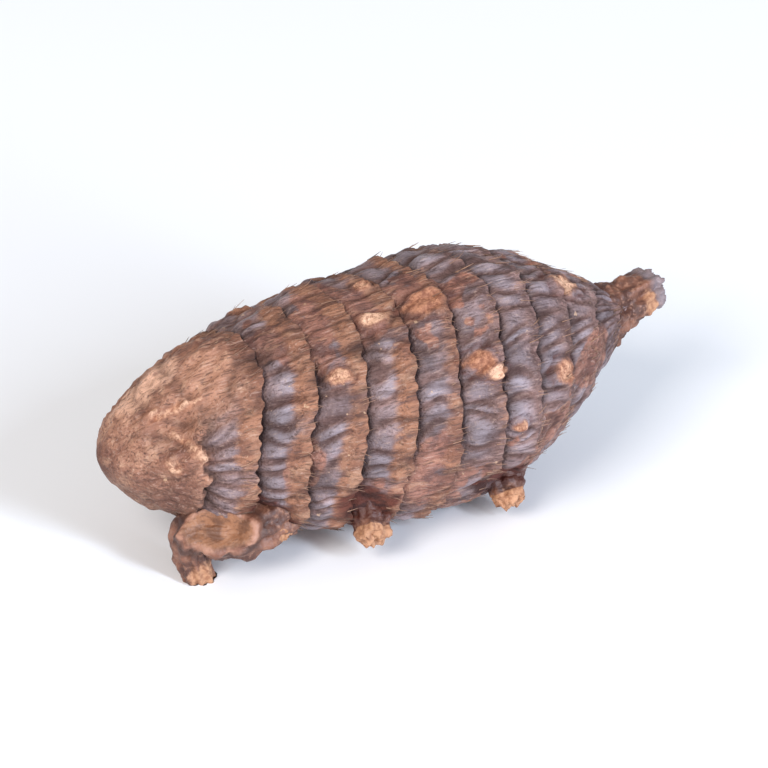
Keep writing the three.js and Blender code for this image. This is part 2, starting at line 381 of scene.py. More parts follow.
def skin_grid():
    """The skin without relief, and where each of its points lies."""
    segment, along, share = skin_rows()
    angle = TURN * np.arange(COLUMNS) / COLUMNS
    ahead = np.clip(segment[:, 0], 0, RINGS - 1)
    behind = np.clip(segment[:, 0] - 1, 0, RINGS - 1)
    has_lip = segment < RINGS
    has_crevice = segment > 0
    jags = np.array([around(angle, 8, 60, 300 + ring) for ring in range(RINGS)])
    tears = np.array([around(angle, 3, 16, 340 + ring) for ring in range(RINGS)])
    gapes = np.array([around(angle, 4, 22, 360 + ring) for ring in range(RINGS)])
    jag = jags[ahead] * along**4 * has_lip + jags[behind] * (1 - along) ** 4 * has_crevice
    place = share + (ring_wave(share, angle) + LIP_JAG * jag) / LENGTH
    place = np.clip(place, POLE_GAP, 1 - POLE_GAP)
    flat = spindle_point(place, angle)
    spread = np.sqrt(RADIUS * swell(place) * PUCKER_RADIUS)
    puckered = np.stack([LENGTH * place + 0 * angle, spread * np.cos(angle), spread * np.sin(angle)], -1)
    return SimpleNamespace(
        segment=segment,
        along=along,
        angle=angle,
        place=place,
        flat=flat,
        puckered=puckered,
        own=flat + segment[..., None] * SHEATH_SHIFT,
        has_lip=has_lip,
        has_crevice=has_crevice,
        lip_strength=np.clip(1 + EDGE_UNEVEN * tears[ahead], 0.2, 1.7),
        gape=np.clip(1 + EDGE_UNEVEN * gapes[behind], 0.3, 1.8),
        full=np.clip(swell(place) / FULL_RELIEF, 0, 1),
    )


def rib_profile(grid, sway):
    """Rounded ribs with sharp valleys between, from 0 to 1, and the strength of each, on every sheath."""
    profile = np.zeros(grid.flat.shape[:-1])
    strength = np.zeros_like(profile)
    for segment in range(RINGS + 1):
        draw = np.random.default_rng(100 + segment)
        jitter = draw.uniform(-RIB_JITTER, RIB_JITTER, RIBS)
        edges = TURN * (np.arange(RIBS) + 0.5 * (segment % 2) - 0.5 + jitter) / RIBS
        heights = draw.uniform(RIB_LEAST, 1, RIBS)
        rows = np.flatnonzero(grid.segment[:, 0] == segment)
        turned = (grid.angle[None, :] + sway[rows] - edges[0]) % TURN + edges[0]
        rib = np.searchsorted(edges, turned, side="right") - 1
        ends = np.append(edges, edges[0] + TURN)
        t = (turned - ends[rib]) / (ends[rib + 1] - ends[rib])
        profile[rows] = 1 - np.abs(2 * t - 1) ** RIB_ROUNDNESS
        strength[rows] = heights[rib]
    return profile, strength


def early_ring(grid):
    """How far along the half-seen sheath at the cap's edge each point is, and how plainly it shows there."""
    jag = EARLY_JAG * around(grid.angle, 4, 30, 380)
    place = grid.place + jag - ring_wave(grid.place, grid.angle) / LENGTH
    along = (place - EARLY_RING["share"]) / (FIRST_RING - EARLY_RING["share"])
    turned = (np.degrees(grid.angle) - EARLY_RING["angle"] + 180) % 360 - 180
    shows = 1 - smooth(np.abs(turned), EARLY_RING["full"], EARLY_RING["end"])
    return along, shows * (grid.segment == 0)


def rib_span(along):
    """How far the ribs stand out along a sheath: they end before its lip."""
    return np.sin(np.pi * np.clip(along / RIB_END, 0, 1))


def lip_mask(grid):
    """Where the brown edge of each sheath shows: narrower and weaker towards the tip."""
    to_lip = (1 - grid.along) * np.where(grid.segment > 0, 1, FIRST_RING / RING_PITCH)
    tipward = smooth(grid.place, 0.45, 0.72)
    start = 0.3 + 0.3 * tipward
    share = np.clip(0.4 + 0.6 * grid.lip_strength, 0, 1) * (1 - 0.5 * tipward)
    return smooth(1 - to_lip, start, start + 0.5) * grid.has_lip * share


def sheath_relief(grid, worn):
    """Crevices, lips and ribs, how far the lips hang over, and the masks for their colours, with painted
    shade in the crevices and rib valleys.
    """
    along = grid.along
    facing = np.cos(2 * (grid.angle - np.radians(RING_FACE)))
    wear = (1 - RING_WEAR + RING_WEAR * facing) * (1 - WORN_RINGS * worn)
    groove = (1 - SHEATH_SLOPE) * hump(along / CREVICE_WIDTH) + SHEATH_SLOPE * (1 - along)
    cut = CUT_DEPTH * grid.gape * hump(along / CUT_WIDTH)
    crevice = (RING_DEPTH * groove + cut) * grid.has_crevice
    lipped = grid.has_lip * grid.lip_strength
    lip = LIP_HEIGHT * hump((along - LIP_PLACE) / LIP_WIDTH) * lipped
    forward = LIP_OVERHANG * hump((1 - along) / LIP_REACH) * lipped * grid.full * wear

    early, shows = early_ring(grid)
    early_cut = shows * hump(early / EARLY_RING["width"]) * (early > 0)
    early_lip = shows * hump((early + EARLY_LIP["before"]) / EARLY_LIP["width"])
    profile, strength = rib_profile(grid, RIB_SWAY * ripple(grid.own, 2.2, 11))
    ribbed = rib_span(along) * grid.has_crevice * (1 - WORN_RIBS * worn) + rib_span(early) * shows
    ribs = RIB_HEIGHT * ribbed * strength * (profile - RIB_LEVEL)
    relief = grid.full * (wear * (lip - crevice) + ribs)
    relief += EARLY_LIP["height"] * early_lip - EARLY_RING["depth"] * early_cut

    # Painted shade: dark in the crevice under each lip, fading out over the start of the sheath
    fading_shade = CREVICE_FADING_SHADE * hump(along / (CREVICE_FADING_SHADE_WIDTH * grid.gape))
    dark = np.maximum(hump(along / (CREVICE_SHADE_WIDTH * grid.gape)), fading_shade)
    masks = {
        "lip": lip_mask(grid),
        "crevice": np.maximum(wear * dark * grid.has_crevice, EARLY_CUT_SHADE * early_cut),
        "crest": ribbed * strength * smooth(profile, 0.5, 0.95),
        "valley": ribbed * (1 - smooth(profile, 0.1, 0.75)),
    }
    return relief, forward, masks


def wrinkle_relief(grid, cap):
    """Wrinkles of the dried skin: wide folds, fine creases and grain. Also a mask of their grooves, where
    shade is painted.
    """
    folds = creases(grid.own, 2.1, 21, LENGTHWISE)
    fine = creases(grid.own, 0.95, 22, LENGTHWISE)
    hairlines = creases(grid.own, 0.55, 35, (6, 1, 1))
    drawn = 0.5 * (grid.flat + grid.puckered)
    from_pole = smooth(swell(grid.place), 0.2, 0.55)
    cap_folds = from_pole * creases(drawn, 1.7, 23, (2.2, 1, 1))
    cap_fine = (0.4 + 0.6 * from_pole) * creases(drawn, 0.9, 24, (2.4, 1, 1))
    on_sheath = (1 - cap) * (0.35 + 0.65 * smooth(grid.along, 0.1, 0.35))
    relief = -on_sheath * (FOLD_DEPTH * folds + CREASE_DEPTH * fine + HAIRLINE_DEPTH * hairlines)
    relief -= cap * (CAP_FOLD_DEPTH * cap_folds + CAP_CREASE_DEPTH * cap_fine)
    relief += SWELLS * ripple(grid.flat, 2.4, 25) + BUMPS * ripple(grid.own, 0.9, 26)
    relief += GRAIN * ripple(grid.own, 0.5, 27, (2.5, 1, 1))
    relief += CAP_ROUGHNESS * cap * (ripple(grid.flat, 0.7, 28) + 0.6 * ripple(grid.flat, 0.35, 29))
    # The grooves' mask carries painted shade
    sheath_grooves = on_sheath * np.maximum(folds, 0.5 * fine)
    return relief, np.maximum(sheath_grooves, cap * np.maximum(cap_folds, 0.6 * cap_fine))


def root_scars(skin, uneven, torn):
    """Low bosses, each with a rim round its sunk middle and a dark groove round it all."""
    relief = np.zeros_like(uneven)
    scars, pales, darks = [], [], []
    for ring, degrees, radius, stretch, paleness in SCARS:
        away = nearness(skin, ring_point(ring, degrees), radius, stretch) * (1 + uneven)
        inside = 1 - smooth(away, 0.35, 1.3)
        relief += SCAR_RELIEF["boss"] * hump(away**2) + SCAR_RELIEF["rough"] * torn * inside
        relief += SCAR_RELIEF["rim"] * hump((away - 0.8) / 0.2) - SCAR_RELIEF["middle"] * hump(away / 0.45)
        relief -= SCAR_RELIEF["groove"] * hump((away - SCAR_GROOVE) / 0.18)
        scars.append(inside)
        pales.append(paleness * (1 - smooth(away, 0.3, 1.15)))
        darks.append(0.6 * hump((away - SCAR_GROOVE) / 0.16))
    return relief, {"scar": strongest(scars), "pale": strongest(pales), "dark": strongest(darks)}


def stem_scar(skin, uneven, torn):
    """The dished scar of a side stem on the base cap, and the navel at the cap's end."""
    navel = hump(nearness(skin, spindle_point(0, 0), NAVEL["radius"]))
    centre = spindle_point(STEM_SCAR["share"], np.radians(STEM_SCAR["angle"]))
    away = nearness(skin, centre, STEM_SCAR["radius"]) * (1 + 0.5 * uneven)
    rim = STEM_SCAR["rim"] * hump((away - 1) / STEM_SCAR["rim_width"]) * (1 + 0.3 * torn)
    relief = rim - STEM_SCAR["dish"] * hump(away**2) - NAVEL["depth"] * navel
    return relief, {"dark": np.maximum(0.6 * navel, 0.35 * hump((away - 0.55) / 0.25))}


def torn_ridges(skin, uneven, torn):
    strokes = [stroke_distance(skin, *tear) * (1 + 0.8 * uneven) for tear in TEARS]
    nearest = np.minimum.reduce(strokes)
    relief = TEAR_HEIGHT * (1 + 0.25 * torn) * sum(hump(away) for away in strokes)
    # The pale along the ridges is partly pale torn skin and partly a painted highlight on their lit side
    pale = hump(nearest) * np.clip(0.65 + 0.3 * torn, 0, 1)
    return relief, {"pale": pale, "scar": 0.7 * hump(nearest / 1.6)}


def dark_hollows(skin, uneven):
    spots = [nearness(skin, ring_point(ring, degrees), radius) for ring, degrees, radius in HOLLOWS]
    hollow = hump(np.minimum.reduce(spots) * (1 + 2 * uneven))
    return -HOLLOW_DEPTH * hollow, {"hollow": hollow}


def root_sockets(skin, uneven):
    """A dent beside each root stub, and painted shade in it and round the stub's foot."""
    relief = np.zeros_like(uneven)
    darks = []
    for ring, degrees, _, _, radius, _ in ROOTS:
        beside = ring_share(ring) - ROOT_DENT["away"] / LENGTH
        dent = spindle_point(beside, np.radians(degrees + ROOT_DENT["turn"]))
        socket = nearness(skin, dent, SOCKET_SIZE * radius) * (1 + 1.5 * uneven)
        collar = nearness(skin, ring_point(ring, degrees), COLLAR_SIZE * radius) * (1 + uneven)
        relief -= ROOT_DENT["depth"] * hump(nearness(skin, dent, ROOT_DENT["radius"]))
        darks.append(1 - smooth(np.minimum(socket, collar), 0.7, 1.1))
    return relief, {"dark": strongest(darks)}


def scar_relief(grid):
    """All scars, torn ridges, hollows and sockets of the skin, and the masks for their colours."""
    skin = grid.flat
    uneven = np.clip(0.1 * ripple(skin, 1.2, 31) + 0.04 * ripple(skin, 0.5, 32), -0.3, 0.3)
    torn = ripple(skin, 0.35, 33, (2, 1, 1))
    made = [
        root_scars(skin, uneven, torn),
        stem_scar(skin, uneven, torn),
        torn_ridges(skin, uneven, torn),
        dark_hollows(skin, uneven),
        root_sockets(skin, uneven),
    ]
    # The first stroke is a painted highlight along the cap's top; the other is rubbed skin
    pale_wear_and_highlight = [hump(stroke_distance(skin, *stroke) * (1 + uneven)) for stroke in PALE_WEAR_AND_HIGHLIGHT]
    masks = {"pale_wear_and_highlight": strongest(pale_wear_and_highlight)}
    for _, own in made:
        for key, mask in own.items():
            masks[key] = np.maximum(masks.get(key, 0), mask)
    return sum(relief for relief, _ in made), masks


def red_patches(grid):
    """Where reddish skin hides the rings: chosen places and uneven spots all round."""
    uneven = np.clip(0.25 * ripple(grid.flat, 2, 41) + 0.15 * ripple(grid.flat, 0.8, 42), -0.5, 0.5)
    patch = 0.8 * smooth(ripple(grid.flat, 5, 43), 0.7, 1.5)
    for ring, degrees, radius in RED_PATCHES:
        away = nearness(grid.flat, ring_point(ring, degrees), radius, 1.3) * (1 + uneven)
        patch = np.maximum(patch, 1 - smooth(away, 0.6, 1.15))
    return patch * (grid.segment > 0)


def skin_surface():
    """The skin's points and its masks, each one value for every point."""
    grid = skin_grid()
    worn = red_patches(grid)
    early, shows = early_ring(grid)
    cap = (grid.segment == 0) * (1 - smooth(grid.along, 0.82, 0.98)) * (1 - shows * smooth(early, 0, 0.15))
    sheaths, forward, masks = sheath_relief(grid, worn)
    wrinkles, grooves = wrinkle_relief(grid, cap)
    scars, scar_masks = scar_relief(grid)
    end_fade = np.clip(swell(grid.place) / END_FADE, 0, 1)
    points = spindle_point(grid.place, grid.angle, sheaths + end_fade * (wrinkles + scars), forward)
    points[..., 2] = np.maximum(points[..., 2], 0)
    masks["valley"] = np.maximum(masks["valley"], grooves)
    # soiled is painted shade: darker towards the underside
    masks.update(scar_masks, cap=cap, patch=worn, soiled=smooth(-np.sin(grid.angle), -0.2, 0.6))
    return points, {name: np.broadcast_to(mask, worn.shape) for name, mask in masks.items()}


# Meshes


def make_piece(name, points, faces, masks, material, corners=None):
    """A smooth-shaded mesh piece in metres that rides on the tuber, with its masks as point attributes.

    corners gives each face corner a place on the map that the finish is baked through.
    """
    mesh = bpy.data.meshes.new(name)
    mesh.from_pydata((np.asarray(points) * MM).tolist(), [], faces)
    for key, values in masks.items():
        attribute = mesh.attributes.new(key, "FLOAT", "POINT")
        attribute.data.foreach_set("value", np.asarray(values, np.float32))
    mesh.polygons.foreach_set("use_smooth", np.ones(len(mesh.polygons), bool))
    if corners is not None:
        layer = mesh.uv_layers.new(name="OFBake")
        layer.uv.foreach_set("vector", np.asarray(corners, np.float32).ravel())
    mesh.materials.append(material)
    piece = bpy.data.objects.new(name, mesh)
    bpy.context.scene.collection.objects.link(piece)
    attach(piece, "root")
    return piece


def closed_faces(rows, columns):
    """Faces of a closed skin: a pole, rows of points, clockwise as seen from the end, and another pole."""
    corner = 1 + np.arange(rows * columns).reshape(rows, columns)
    turned = np.roll(corner, -1, axis=1)
    quads = np.stack([corner[:-1], corner[1:], turned[1:], turned[:-1]], -1).reshape(-1, 4)
    last = 1 + rows * columns
    first_fan = np.stack([np.zeros(columns, int), corner[0], turned[0]], -1)
    last_fan = np.stack([np.full(columns, last), turned[-1], corner[-1]], -1)
    return quads.tolist() + first_fan.tolist() + last_fan.tolist()


def closed_corners(rows, columns, low, high):
    """The map places of the corners of closed_faces: columns run across, rows from low to high."""
    across = np.arange(columns + 1) / columns
    up = low + (high - low) * np.arange(1, rows + 1) / (rows + 1)
    spot = np.stack(np.meshgrid(across, up), -1)
    here, turned = spot[:, :-1], spot[:, 1:]
    middle = (across[:-1] + across[1:]) / 2
    quads = np.stack([here[:-1], here[1:], turned[1:], turned[:-1]], -2).reshape(-1, 2)
    first = np.stack([middle, np.full(columns, low)], -1)
    last = np.stack([middle, np.full(columns, high)], -1)
    first_fan = np.stack([first, here[0], turned[0]], -2).reshape(-1, 2)
    last_fan = np.stack([last, turned[-1], here[-1]], -2).reshape(-1, 2)
    return np.concatenate([quads, first_fan, last_fan])


def with_poles(rows):
    """The values of rows of points, with their mean at a pole before the first row and after the last."""
    flat = rows.reshape(-1, *rows.shape[2:])
    return np.concatenate([[rows[0].mean(0)], flat, [rows[-1].mean(0)]])


def skin_piece(material):
    points, masks = skin_surface()
    rows, columns = points.shape[:2]
    padded = {key: with_poles(mask) for key, mask in masks.items()}
    faces = closed_faces(rows, columns)
    corners = closed_corners(rows, columns, 0, 1)
    piece = make_piece("tuber_skin", with_poles(points), faces, padded, material, corners)
    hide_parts("tuber")
    return points


# Root stubs

ROOT_SIDES = 72
ROOT_ROWS = 60

# How far from the middle of a broken end its rows of points lie, as shares of the way to its rim
END_INWARD = np.linspace(1, 0.05, 14)[1:]

# The cupped face of the thick root: where it lies along the root and which way it faces. NO_FLAP is a
# distance from it that is far enough for a root that has none.
FLAP = {"middle": 0.46, "half_length": 0.19, "half_turn": 0.9, "dish": 0.5, "rim": 0.08}
FACING = np.array([-0.32, -0.78, 0.54])
NO_FLAP = 9.0

# Where the bark is gone from one side of the thick root's end and of the tip stub
PEG_BARED = {"facing": np.array([0.2, -0.97, 0.1]), "start": 0.72, "end": 2}
TIP_BARED = {"facing": np.array([-0.25, -0.93, -0.27]), "start": 0.62, "end": 0.95}


def curve_through(path, count):
    """Points spaced evenly along a smooth curve through the path's points."""
    path = np.asarray(path, float)
    padded = np.concatenate([[2 * path[0] - path[1]], path, [2 * path[-1] - path[-2]]])
    fine = []
    for a, b, c, d in zip(padded, padded[1:], padded[2:], padded[3:]):
        t = np.linspace(0, 1, 40, endpoint=False)[:, None]
        bend = (2 * a - 5 * b + 4 * c - d) * t**2 + (3 * b - a - 3 * c + d) * t**3
        fine.append(0.5 * (2 * b + (c - a) * t + bend))
    fine = np.concatenate(fine + [path[-1:]])
    lengths = np.append(0, np.cumsum(np.linalg.norm(np.diff(fine, axis=0), axis=1)))
    wanted = np.linspace(0, lengths[-1], count)
    return np.stack([np.interp(wanted, lengths, fine[:, i]) for i in range(3)], -1)


def sweep_frames(line):
    """A direction and two sideways directions at each point of a line, turned as little as possible."""
    ahead = np.gradient(line, axis=0)
    ahead /= np.linalg.norm(ahead, axis=1, keepdims=True)
    side = np.cross(ahead[0], [0.3, 0.2, 1.0])
    sides = []
    for direction in ahead:
        side = side - direction * (side @ direction)
        side = side / np.linalg.norm(side)
        sides.append(side)
    sides = np.array(sides)
    return ahead, sides, np.cross(ahead, sides)


def flap_distance(t, outward):
    """Distance from the middle of the thick root's cupped face, 1 at its edge."""
    turned = np.arccos(np.clip(outward @ FACING, -1, 1)) / FLAP["half_turn"]
    along = (t - FLAP["middle"]) / FLAP["half_length"]
    return np.sqrt(along[:, None] ** 2 + turned**2)


def bark_relief(points, turn, seed):
    """Grooves and bumps of the bark, as shares of the root's girth."""
    grooves = 0.06 * around(turn, 4, 11, seed)
    bumps = 0.05 * ripple(points, 0.9, seed + 1) + 0.025 * ripple(points, 0.4, seed + 7)
    cracks = 0.07 * creases(points, 0.9, seed + 3) + 0.03 * creases(points, 0.5, seed + 8)
    return grooves + bumps - cracks


def broken_end(middle, rim, ahead, radius, seed):
    """Rows of points inward from the rim of a root's end, over a rough low dome."""
    points = middle + END_INWARD[:, None, None] * (rim - middle)
    rough = ripple(points, 0.5, seed + 4) + 0.7 * ripple(points, 0.22, seed + 5)
    dome = 0.2 * (1 - END_INWARD**2)[:, None] + 0.09 * rough
    return points + (radius * dome)[..., None] * ahead


def bark_masks(t, turn, outward, seed, bared):
    """Where the bark is gone, grey or shaded: a mask for the root's walls and one for its end."""
    if bared:
        start, end = bared["start"], bared["end"]
        stretch = smooth(t, start, start + 0.18) * (1 - smooth(t, end - 0.12, end))
        peeled = stretch[:, None] * smooth(outward @ bared["facing"], 0.2, 0.9)
        grey = smooth(t, end - 0.15, end)[:, None]
        return {"end": (peeled, peeled[-1]), "grey": (grey, grey[-1]), "shade": (0, 0)}
    ragged = 0.03 * around(turn, 1, 5, seed + 6)
    peeled = smooth(t[:, None] + ragged, 0.79, 0.88)
    shade = 1 - smooth(t, 0.64, 0.8)[:, None]
    return {"end": (peeled, 1), "grey": (0, 0), "shade": (shade, 0)}


def flap_masks(away, outward):
    """The cupped face, its pale rim, which is wider below, and a dark outline."""
    below = smooth(FACING[2] - outward[..., 2], 0.1, 0.6)
    face = 1 - smooth(away, 0.88, 1)
    rim = hump((away - 1.02 - 0.06 * below) / (0.1 + 0.1 * below))
    outline = hump((away - 1.3) / 0.16)
    return {"flap": (face, 0), "rim": (rim, 0), "outline": (outline, 0)}


def over_root(pair, walls, ends):
    """One mask for all rows of a root: the first of the pair on its walls, the second on its end."""
    on_walls = np.broadcast_to(pair[0], walls.shape[:2])
    on_end = np.broadcast_to(pair[1], ends.shape[:2])
    return np.concatenate([on_walls, on_end])


def root_surface(path, radius, flare, seed, flapped=False, bared=None):
    """A wrinkled root along a path, and its rough broken end, which may be bared on one side alone."""
    line = curve_through(path, ROOT_ROWS)
    ahead, side, across = sweep_frames(line)
    turn = TURN * np.arange(ROOT_SIDES) / ROOT_SIDES
    t = np.linspace(0, 1, ROOT_ROWS)
    girth = radius * np.interp(t, np.linspace(0, 1, len(flare)), flare)
    outward = np.cos(turn)[:, None] * side[:, None, :] - np.sin(turn)[:, None] * across[:, None, :]
    bark = bark_relief(line[:, None, :] + girth[:, None, None] * outward, turn, seed)
    away = flap_distance(t, outward) if flapped else np.full(bark.shape, NO_FLAP)
    bark *= 0.4 + 0.6 * smooth(away, 0.8, 1.1)
    bark += FLAP["rim"] * hump((away - 1) / 0.16) - FLAP["dish"] * smooth(1 - away, 0, 0.5)
    walls = line[:, None, :] + (girth[:, None] * (1 + bark))[..., None] * outward
    ends = broken_end(line[-1], walls[-1], ahead[-1], radius, seed)
    points = np.concatenate([walls, ends])
    points[..., 2] = np.maximum(points[..., 2], 0)

    tone = np.random.default_rng(seed).uniform()
    masks = {"tone": (tone, tone), "core": (0, hump(END_INWARD / 0.5)[:, None])}
    masks.update(bark_masks(t, turn, outward, seed, bared))
    masks.update(flap_masks(away, outward))
    return points, {key: over_root(pair, walls, ends) for key, pair in masks.items()}


def stub_path(ring, degrees, points_to, length, lean):
    turn = np.radians(points_to)
    out = np.array([lean, -np.cos(turn), np.sin(turn)])
    out /= np.linalg.norm(out)
    foot = ring_point(ring, degrees)
    return [foot - ROOT_SUNK * out, foot + length * out]


def tip_path():
    share = TIP_STUB["start"]
    start = np.array([LENGTH * (share - BELLY), 0, axis_height(share)])
    return [start, start + [TIP_STUB["along"], TIP_STUB["aside"], TIP_STUB["rise"]]]


def roots_piece(material):
    leg = [spindle_point(share, np.radians(degrees), raised) for share, degrees, raised in LEG_PATH]
    made = [root_surface(leg, LEG_RADIUS, LEG_FLARE, 500, flapped=True, bared=PEG_BARED)]
    made.append(root_surface(tip_path(), TIP_STUB["radius"], STUB_FLARE, 510, bared=TIP_BARED))
    for number, (ring, degrees, points_to, length, radius, lean) in enumerate(ROOTS):
        path = stub_path(ring, degrees, points_to, length, lean)
        made.append(root_surface(path, radius, STUB_FLARE, 520 + 10 * number))
    verts, faces, corners = [], [], []
    masks = {key: [] for key in made[0][1]}
    for number, (points, own) in enumerate(made):
        start = len(verts)
        rows, columns = points.shape[:2]
        verts += with_poles(points).tolist()
        faces += [[start + corner for corner in face] for face in closed_faces(rows, columns)]
        corners.append(closed_corners(rows, columns, number / len(made), (number + 0.9) / len(made)))
        for key in masks:
            masks[key] += with_poles(own[key]).tolist()
    make_piece("root_stubs", verts, faces, masks, material, np.concatenate(corners))


# Fibres along the ragged edges of the sheaths. Their feet lie at FIBRE_EDGE of the way along a sheath, and
# FIBRE_BEHIND is the share of a fibre that lies behind its foot.

FIBRES_A_RING = 80
FIBRE_EDGE = 0.93
FIBRE_STEPS = 5
FIBRE_SIDES = 3
FIBRE_RADIUS = 0.026
FIBRE_TAPER = 0.75
FIBRE_LENGTH = (0.35, 0.95)
FIBRE_BEHIND = 0.45
FIBRE_DRIFT = 0.25
FIBRE_LIFT = 0.06
FIBRE_CLEARANCE = 0.01


def skin_directions(skin, row, column):
    """Unit vectors at a point of the skin: towards the tip, round the spindle and outward."""
    foot = skin[row, column]
    ahead = foot - skin[row - 4, column]
    ahead /= np.linalg.norm(ahead)
    beside = skin[row, (column + 2) % COLUMNS] - skin[row, column - 2]
    beside /= np.linalg.norm(beside)
    out = np.cross(beside, ahead)
    out *= np.sign(out @ (foot - [foot[0], 0, AXIS_HEIGHT]))
    return ahead, beside, out


def fibre_points(foot, directions, length, drift, lift):
    """Points round a thin tapered fibre that starts behind its foot, bends aside and lifts."""
    ahead, beside, out = directions
    points = []
    for step in range(FIBRE_STEPS + 1):
        t = step / FIBRE_STEPS
        centre = foot + length * (t - FIBRE_BEHIND) * ahead + drift * length * t * t * beside
        centre = centre + (FIBRE_CLEARANCE + lift * t * t) * out
        thick = FIBRE_RADIUS * (1 - FIBRE_TAPER * t)
        for side in range(FIBRE_SIDES):
            turn = TURN * side / FIBRE_SIDES
            points.append(centre + thick * (np.cos(turn) * beside + np.sin(turn) * out))
    return points


def fibre_faces(start):
    faces = []
    for step in range(FIBRE_STEPS):
        row = start + FIBRE_SIDES * step
        for side in range(FIBRE_SIDES):
            a = row + side
            b = row + (side + 1) % FIBRE_SIDES
            faces.append([a, a + FIBRE_SIDES, b + FIBRE_SIDES, b])
    return faces


def fibres_piece(skin, material):
    segment, along, _ = skin_rows()
    draw = np.random.default_rng(700)
    verts, faces, tones = [], [], []
    for ring in range(RINGS):
        edge = np.flatnonzero((segment[:, 0] == ring) & (along[:, 0] < FIBRE_EDGE))[-1]
        for _ in range(FIBRES_A_RING):
            column = draw.integers(COLUMNS)
            length = draw.uniform(*FIBRE_LENGTH)
            drift = draw.normal(0, FIBRE_DRIFT)
            lift = draw.uniform(0, FIBRE_LIFT)
            tone = draw.uniform()
            directions = skin_directions(skin, edge, column)
            points = fibre_points(skin[edge, column], directions, length, drift, lift)
            faces += fibre_faces(len(verts))
            verts += points
            tones += [tone] * len(points)
    verts = np.array(verts)
    verts[:, 2] = np.maximum(verts[:, 2], 0)
    make_piece("sheath_fibres", verts, faces, {"tone": tones}, material)


# Materials: colours are linear red, green and blue

NOISE_ROUGHNESS = 0.55


class Tree:
    """A material's nodes, with short calls for the kinds that are used here."""

    def __init__(self, name):
        self.material = bpy.data.materials.new(name)
        self.material.use_nodes = True
        self.nodes = self.material.node_tree.nodes
        self.links = self.material.node_tree.links
        self.shader = self.nodes["Principled BSDF"]
        coords = self.nodes.new("ShaderNodeTexCoord")
        scale = self.nodes.new("ShaderNodeVectorMath")
        scale.operation = "SCALE"
        scale.inputs["Scale"].default_value = 1 / MM
        self.links.new(coords.outputs["Object"], scale.inputs[0])
        self.place = scale.outputs[0]

    def put(self, socket, value):
        if isinstance(value, bpy.types.NodeSocket):
            self.links.new(value, socket)
        elif isinstance(value, tuple) and len(value) == 3 and socket.type == "RGBA":
            socket.default_value = (*value, 1)
        else:
            socket.default_value = value

    def mask(self, name):
        node = self.nodes.new("ShaderNodeAttribute")
        node.attribute_name = name
        return node.outputs["Fac"]

    def noise(self, size, detail, stretch=None):
        """Noise from 0 to 1 with blotches of about that size in millimetres."""
        place = self.place
        if stretch:
            squeeze = self.nodes.new("ShaderNodeVectorMath")
            squeeze.operation = "DIVIDE"
            self.put(squeeze.inputs[0], self.place)
            squeeze.inputs[1].default_value = stretch
            place = squeeze.outputs[0]
        node = self.nodes.new("ShaderNodeTexNoise")
        self.put(node.inputs["Vector"], place)
        node.inputs["Scale"].default_value = 1 / size
        node.inputs["Detail"].default_value = detail
        node.inputs["Roughness"].default_value = NOISE_ROUGHNESS
        return node.outputs["Fac"]

    def step(self, value, low, high, to_low=0.0, to_high=1.0):
        node = self.nodes.new("ShaderNodeMapRange")
        node.interpolation_type = "SMOOTHSTEP"
        for socket, number in zip(node.inputs[:5], (value, low, high, to_low, to_high)):
            self.put(socket, number)
        return node.outputs[0]

    def math(self, operation, a, b, clamp=True):
        node = self.nodes.new("ShaderNodeMath")
        node.operation = operation
        node.use_clamp = clamp
        self.put(node.inputs[0], a)
        self.put(node.inputs[1], b)
        return node.outputs[0]

    def faded(self, mask, share):
        return self.math("MULTIPLY", mask, share)

    def ragged(self, mask, noise, low, high, share):
        """A mask whose edge is broken up by that share of noise."""
        centred = self.math("SUBTRACT", noise, 0.5, clamp=False)
        shift = self.math("MULTIPLY", centred, share, clamp=False)
        return self.step(self.math("ADD", mask, shift), low, high)

    def mix(self, share, a, b):
        """A colour between two."""
        node = self.nodes.new("ShaderNodeMix")
        node.data_type = "RGBA"
        self.put(node.inputs[0], share)
        self.put(node.inputs[6], a)
        self.put(node.inputs[7], b)
        return node.outputs[2]

    def blend(self, share, a, b):
        """A number between two."""
        node = self.nodes.new("ShaderNodeMix")
        self.put(node.inputs[0], share)
        self.put(node.inputs[2], a)
        self.put(node.inputs[3], b)
        return node.outputs[0]

    def bump(self, height, depth, strength):
        node = self.nodes.new("ShaderNodeBump")
        node.inputs["Strength"].default_value = strength
        node.inputs["Distance"].default_value = depth * MM
        self.put(node.inputs["Height"], height)
        self.put(self.shader.inputs["Normal"], node.outputs[0])

    def finish(self, colour, roughness):
        self.put(self.shader.inputs["Base Color"], colour)
        self.put(self.shader.inputs["Roughness"], roughness)
        return self.material


BAND_DARK = (0.115, 0.061, 0.056)
BAND_BROWN = (0.215, 0.116, 0.099)
BAND_PALE = (0.32, 0.185, 0.165)
BAND_STAIN = (0.075, 0.034, 0.032)
# Pale grey on the rib crests: partly a pale bloom, partly a painted highlight
RIB_CREST_BLOOM_AND_HIGHLIGHT = (0.39, 0.33, 0.37)


def band_colour(t, noises, crest):
    """Grey-brown sheaths with pale grey along the crests of their ribs: partly a pale bloom, partly a
    painted highlight.
    """
    colour = t.mix(t.step(noises.blotch, 0.38, 0.62), BAND_DARK, BAND_BROWN)
    colour = t.mix(t.step(noises.mottle, 0.5, 0.66, 0, 0.75), colour, BAND_PALE)
    colour = t.mix(t.step(noises.mottle, 0.3, 0.44, 0.7, 0), colour, BAND_STAIN)
    return t.mix(t.faded(crest, 0.75), colour, RIB_CREST_BLOOM_AND_HIGHLIGHT)


LIP_DARK = (0.16, 0.062, 0.035)
LIP_BROWN = (0.34, 0.15, 0.085)
LIP_PALE = (0.44, 0.235, 0.145)
LIP_STAIN = (0.17, 0.062, 0.038)


